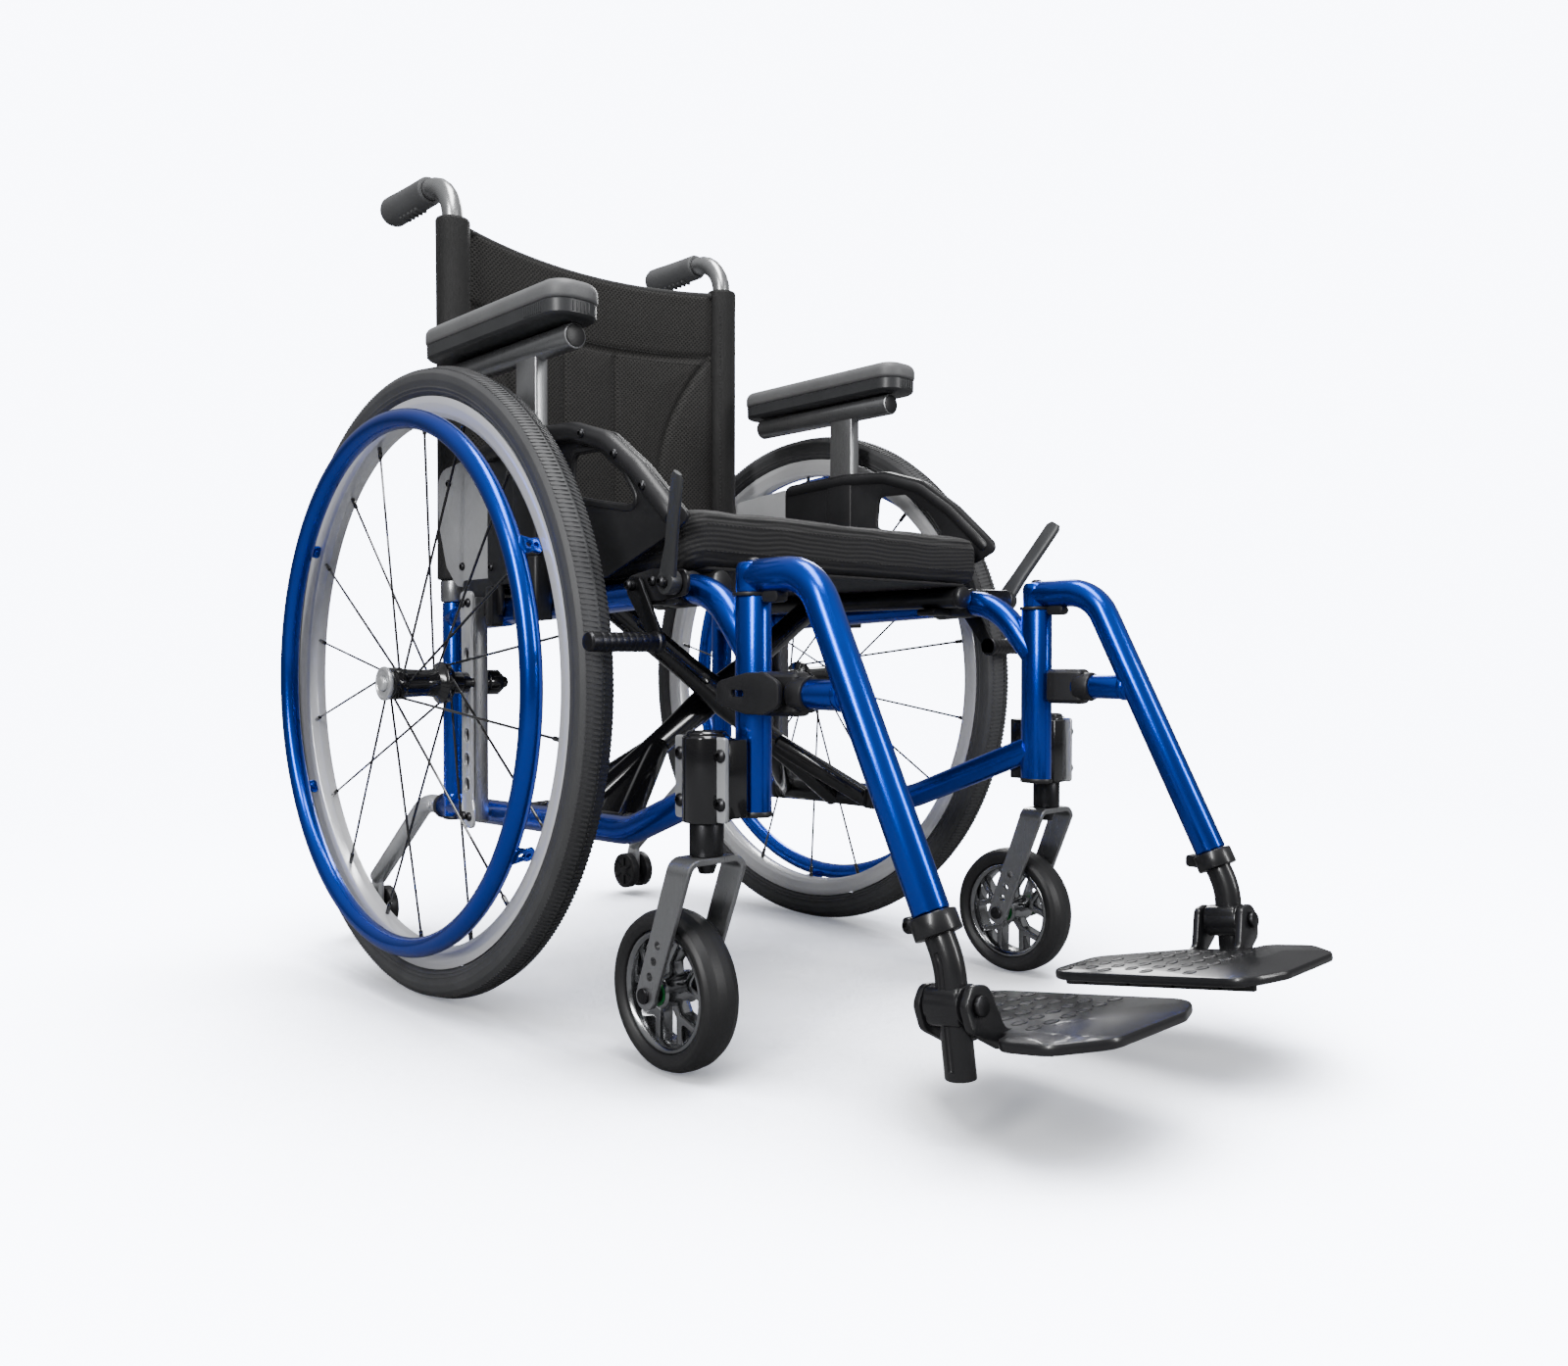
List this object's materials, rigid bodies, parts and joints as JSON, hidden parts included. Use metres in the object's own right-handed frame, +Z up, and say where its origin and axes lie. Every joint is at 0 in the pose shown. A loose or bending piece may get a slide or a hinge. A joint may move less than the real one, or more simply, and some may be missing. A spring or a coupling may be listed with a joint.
{
  "type": "folding manual wheelchair",
  "caption": "Folding manual wheelchair: blue tube side frames on a cross brace, large handrim wheels, casters, swing-away footrests, armrests and cushion.",
  "frame": {"origin": "on the floor, under the middle of the chair's box", "axes": "+Z up; -Y is the way the chair faces; +X is the sitter's left"},
  "size_m": [0.622, 1.0098, 0.8605],
  "materials": {
    "blue_paint": "candy gloss",
    "black_paint": "satin",
    "silver_alloy": "satin anodised",
    "gunmetal": "brushed, dark anodised",
    "tyre_rubber": "matte",
    "grip_rubber": "matte",
    "black_plastic": "fine grain",
    "arm_foam": "moulded skin",
    "black_fabric": "stretch weave"
  },
  "bodies": {
    "right_frame": {"side_frame_right": "blue_paint", "back_cane_right": "silver_alloy", "push_grip_right": "grip_rubber", "back_sleeve_right": "black_fabric", "axle_plate_right": "silver_alloy", "side_guard_right": "black_plastic", "brake_body_right": "black_paint", "caster_housing_right": "black_paint", "tipper_arm_right": "silver_alloy", "back_panel": "black_fabric"},
    "cross_arm_a": {"cross_arm_a": "black_paint"},
    "cross_arm_b": {"cross_arm_b": "black_paint"},
    "left_frame": {"side_frame_left": "blue_paint", "back_cane_left": "silver_alloy", "push_grip_left": "grip_rubber", "back_sleeve_left": "black_fabric", "axle_plate_left": "silver_alloy", "side_guard_left": "black_plastic", "brake_body_left": "black_paint", "caster_housing_left": "black_paint", "tipper_arm_left": "silver_alloy"},
    "seat": {"seat_sling": "black_fabric", "seat_cushion": "black_fabric"},
    "wheel_left": {"rear_tyre_left": "tyre_rubber", "wheel_rim_left": "silver_alloy", "wheel_hub_left": "black_paint", "handrim_left": "blue_paint"},
    "wheel_right": {"rear_tyre_right": "tyre_rubber", "wheel_rim_right": "silver_alloy", "wheel_hub_right": "black_paint", "handrim_right": "blue_paint"},
    "release_button_left": {"release_button_left": "silver_alloy"},
    "release_button_right": {"release_button_right": "silver_alloy"},
    "caster_fork_left": {"caster_fork_left": "gunmetal"},
    "caster_fork_right": {"caster_fork_right": "gunmetal"},
    "caster_wheel_left": {"caster_wheel_left": "gunmetal", "caster_tyre_left": "tyre_rubber"},
    "caster_wheel_right": {"caster_wheel_right": "gunmetal", "caster_tyre_right": "tyre_rubber"},
    "footrest_left": {"hanger_left": "blue_paint", "extension_tube_left": "black_paint", "footplate_bracket_left": "black_plastic"},
    "footrest_right": {"hanger_right": "blue_paint", "extension_tube_right": "black_paint", "footplate_bracket_right": "black_plastic"},
    "latch_left": {"hanger_latch_left": "black_plastic"},
    "latch_right": {"hanger_latch_right": "black_plastic"},
    "footplate_left": {"footplate_left": "black_plastic"},
    "footplate_right": {"footplate_right": "black_plastic"},
    "armrest_left": {"arm_pad_left": "arm_foam", "arm_post_left": "black_paint"},
    "armrest_right": {"arm_pad_right": "arm_foam", "arm_post_right": "black_paint"},
    "brake_lever_left": {"brake_lever_left": "black_plastic"},
    "brake_lever_right": {"brake_lever_right": "black_plastic"},
    "brake_shoe_left": {"brake_shoe_left": "black_paint"},
    "brake_shoe_right": {"brake_shoe_right": "black_paint"},
    "tipper_wheel_left": {"tipper_wheel_left": "black_plastic"},
    "tipper_wheel_right": {"tipper_wheel_right": "black_plastic"}
  },
  "joints": [
    {"name": "fold", "type": "hinge", "parent": "right_frame", "child": "cross_arm_a", "pos_m": [-0.163, 0.06994, 0.175], "axis": [0, -1, 0], "range_deg": [0, 39], "deforming": ["seat_sling", "seat_cushion", "back_panel"]},
    {"name": "cross_pivot", "type": "hinge", "parent": "cross_arm_a", "child": "cross_arm_b", "pos_m": [0, 0.06994, 0.2835], "axis": [0, -1, 0], "range_deg": [-78, 0]},
    {"name": "left_foot_pivot", "type": "hinge", "parent": "cross_arm_b", "child": "left_frame", "pos_m": [0.163, 0.06994, 0.175], "axis": [0, -1, 0], "range_deg": [0, 39]},
    {"name": "seat_level", "type": "hinge", "parent": "cross_arm_a", "child": "seat", "pos_m": [0.163, 0.06994, 0.392], "axis": [0, -1, 0], "range_deg": [-39, 0]},
    {"name": "wheel_spin_left", "type": "hinge", "parent": "left_frame", "child": "wheel_left", "pos_m": [0.2657, 0.19994, 0.305], "axis": [1, 0, 0], "continuous": true},
    {"name": "release_left", "type": "slide", "parent": "wheel_left", "child": "release_button_left", "axis": [-1, 0, 0], "range_m": [0, 0.004], "stiffness_N_per_m": 1200},
    {"name": "caster_swivel_left", "type": "hinge", "parent": "left_frame", "child": "caster_fork_left", "pos_m": [0.227, -0.18706, 0.18], "axis": [0, 0, 1], "continuous": true},
    {"name": "caster_spin_left", "type": "hinge", "parent": "caster_fork_left", "child": "caster_wheel_left", "pos_m": [0.227, -0.14706, 0.065], "axis": [1, 0, 0], "continuous": true},
    {"name": "footrest_swing_left", "type": "hinge", "parent": "left_frame", "child": "footrest_left", "pos_m": [0.19, -0.20006, 0.393], "axis": [0, 0, 1], "range_deg": [0, 85]},
    {"name": "latch_release_left", "type": "hinge", "parent": "footrest_left", "child": "latch_left", "pos_m": [0.209, -0.24206, 0.302], "axis": [0, 0, -1], "range_deg": [0, 25], "stiffness_Nm_per_rad": 0.4},
    {"name": "footplate_flip_left", "type": "hinge", "parent": "footrest_left", "child": "footplate_left", "pos_m": [0.192, -0.40007, 0.098], "axis": [0, 0.9877, -0.1564], "range_deg": [0, 82]},
    {"name": "armrest_height_left", "type": "slide", "parent": "left_frame", "child": "armrest_left", "axis": [0, 0, 1], "range_m": [0, 0.07]},
    {"name": "wheel_lock_left", "type": "hinge", "parent": "left_frame", "child": "brake_lever_left", "pos_m": [0.225, -0.13806, 0.39], "axis": [1, 0, 0], "range_deg": [0, 32]},
    {"name": "shoe_swing_left", "type": "hinge", "parent": "left_frame", "child": "brake_shoe_left", "pos_m": [0.221, -0.08606, 0.39], "axis": [1, 0, 0], "range_deg": [0, 6.5]},
    {"name": "tipper_spin_left", "type": "hinge", "parent": "left_frame", "child": "tipper_wheel_left", "pos_m": [0.188, 0.47494, 0.033], "axis": [1, 0, 0], "continuous": true},
    {"name": "wheel_spin_right", "type": "hinge", "parent": "right_frame", "child": "wheel_right", "pos_m": [-0.2657, 0.19994, 0.305], "axis": [1, 0, 0], "continuous": true},
    {"name": "release_right", "type": "slide", "parent": "wheel_right", "child": "release_button_right", "axis": [1, 0, 0], "range_m": [0, 0.004], "stiffness_N_per_m": 1200},
    {"name": "caster_swivel_right", "type": "hinge", "parent": "right_frame", "child": "caster_fork_right", "pos_m": [-0.227, -0.18706, 0.18], "axis": [0, 0, 1], "continuous": true},
    {"name": "caster_spin_right", "type": "hinge", "parent": "caster_fork_right", "child": "caster_wheel_right", "pos_m": [-0.227, -0.14706, 0.065], "axis": [1, 0, 0], "continuous": true},
    {"name": "footrest_swing_right", "type": "hinge", "parent": "right_frame", "child": "footrest_right", "pos_m": [-0.19, -0.20006, 0.393], "axis": [0, 0, -1], "range_deg": [0, 85]},
    {"name": "latch_release_right", "type": "hinge", "parent": "footrest_right", "child": "latch_right", "pos_m": [-0.209, -0.24206, 0.302], "axis": [0, 0, 1], "range_deg": [0, 25], "stiffness_Nm_per_rad": 0.4},
    {"name": "footplate_flip_right", "type": "hinge", "parent": "footrest_right", "child": "footplate_right", "pos_m": [-0.192, -0.40007, 0.098], "axis": [0, -0.9877, 0.1564], "range_deg": [0, 82]},
    {"name": "armrest_height_right", "type": "slide", "parent": "right_frame", "child": "armrest_right", "axis": [0, 0, 1], "range_m": [0, 0.07]},
    {"name": "wheel_lock_right", "type": "hinge", "parent": "right_frame", "child": "brake_lever_right", "pos_m": [-0.225, -0.13806, 0.39], "axis": [1, 0, 0], "range_deg": [0, 32]},
    {"name": "shoe_swing_right", "type": "hinge", "parent": "right_frame", "child": "brake_shoe_right", "pos_m": [-0.221, -0.08606, 0.39], "axis": [1, 0, 0], "range_deg": [0, 6.5]},
    {"name": "tipper_spin_right", "type": "hinge", "parent": "right_frame", "child": "tipper_wheel_right", "pos_m": [-0.188, 0.47494, 0.033], "axis": [1, 0, 0], "continuous": true}
  ],
  "couplings": [
    {"joint": "cross_pivot", "follows": "fold", "ratio": -2},
    {"joint": "left_foot_pivot", "follows": "fold", "ratio": 1},
    {"joint": "seat_level", "follows": "fold", "ratio": -1},
    {"joint": "footplate_flip_left", "follows": "fold", "ratio": 2.1},
    {"joint": "shoe_swing_left", "follows": "wheel_lock_left", "ratio": 0.20312},
    {"joint": "footplate_flip_right", "follows": "fold", "ratio": 2.1},
    {"joint": "shoe_swing_right", "follows": "wheel_lock_right", "ratio": 0.20312}
  ]
}
